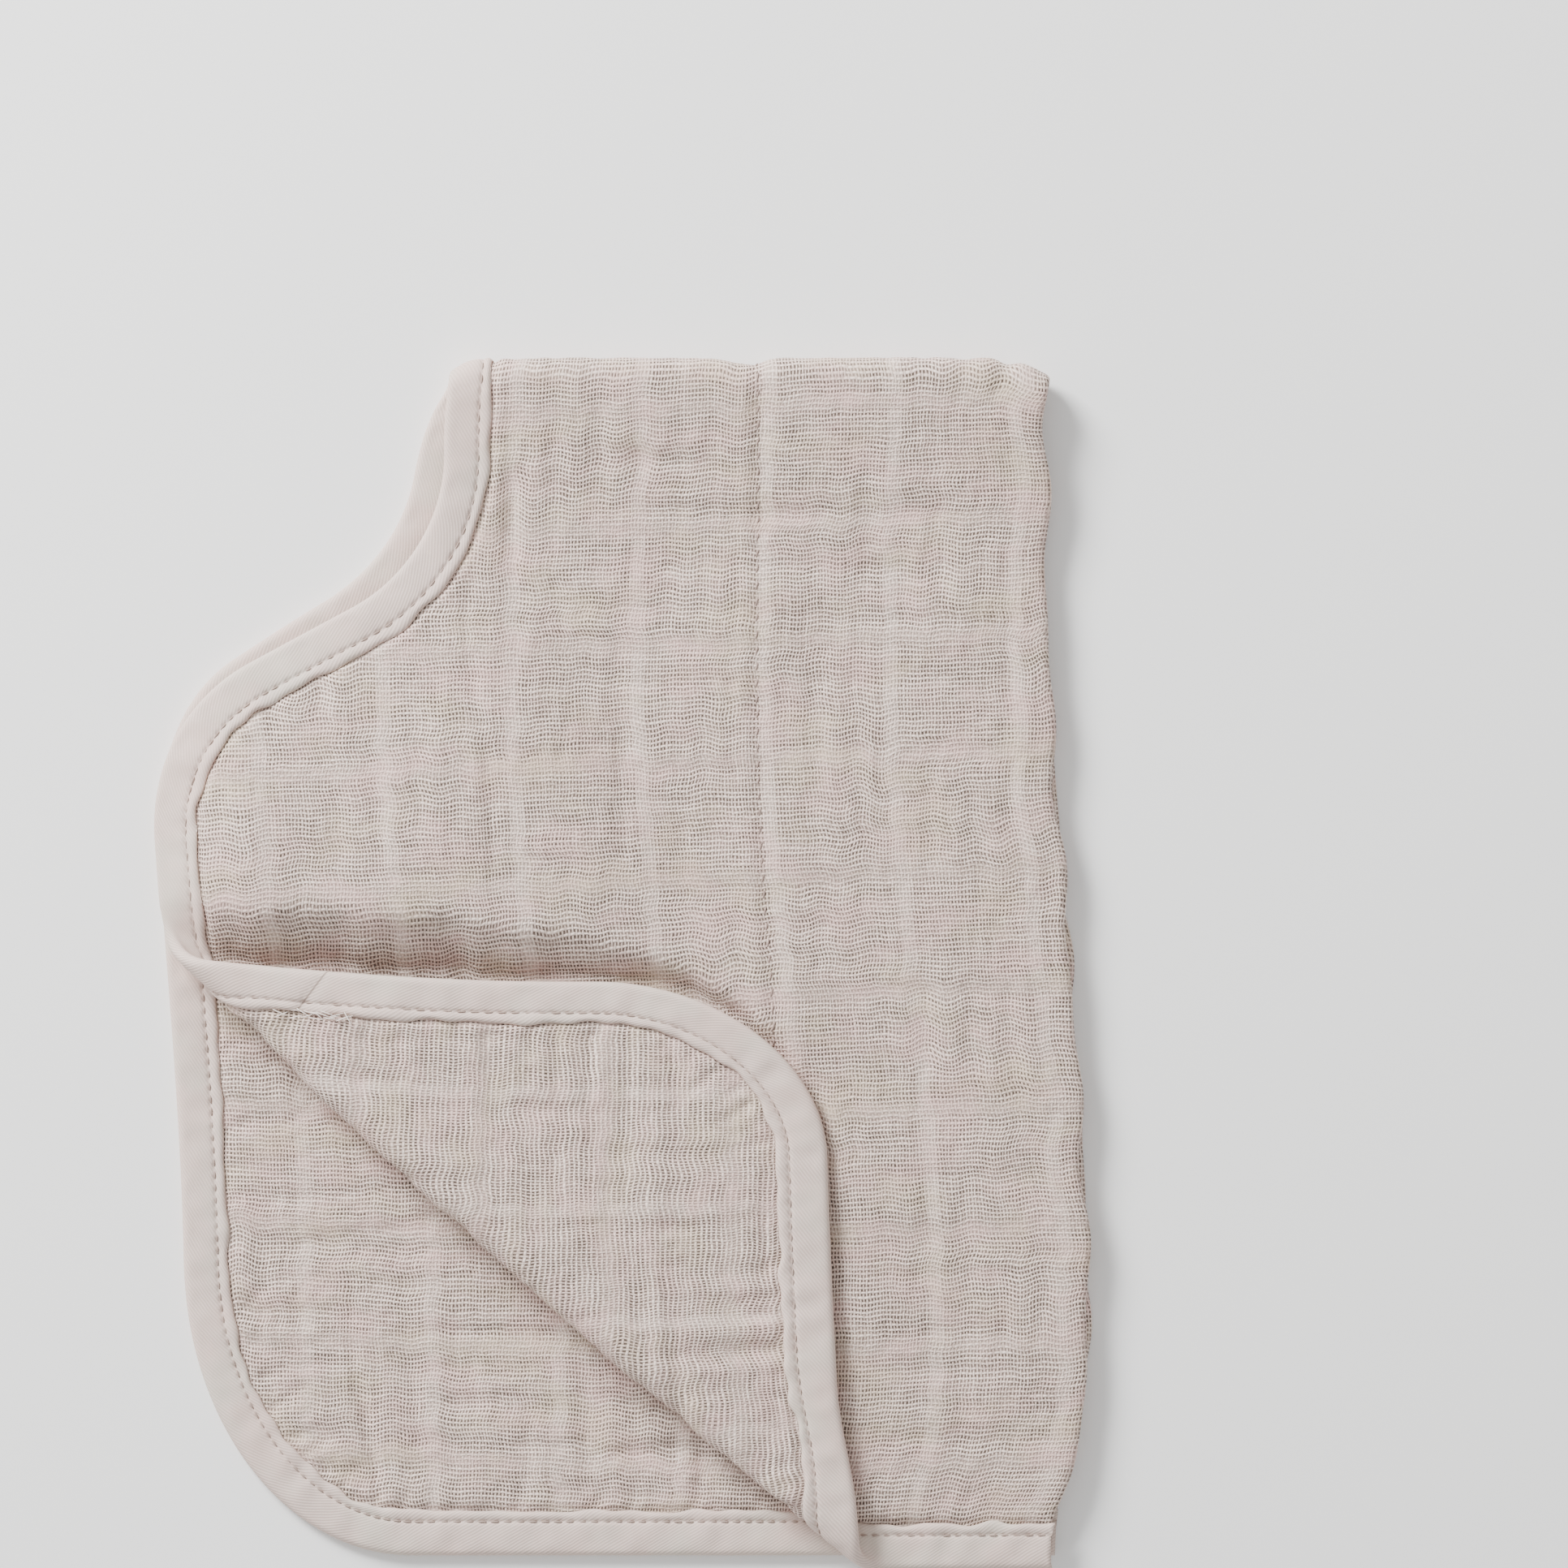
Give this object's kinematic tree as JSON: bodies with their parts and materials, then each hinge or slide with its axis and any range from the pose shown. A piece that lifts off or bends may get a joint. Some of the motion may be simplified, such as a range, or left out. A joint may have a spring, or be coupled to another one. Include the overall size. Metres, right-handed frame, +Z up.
{
  "type": "burp cloth",
  "caption": "Soft muslin burp cloth with a neck scoop and a twill-bound edge, folded in half with a near corner turned up.",
  "frame": {"origin": "middle of the folded cloth's box in plan, at the surface that it lies on", "axes": "+Y along the cloth towards its fold, +X towards the soft plain side, +Z up off the surface"},
  "size_m": [0.2056, 0.266, 0.0158],
  "materials": {
    "muslin": "open plain-weave cotton muslin in layers, crinkled and matte",
    "binding": "soft washed cotton twill tape, matte"
  },
  "bodies": {
    "root": {"muslin_cloth": "muslin", "edge_binding": "binding"}
  },
  "joints": []
}
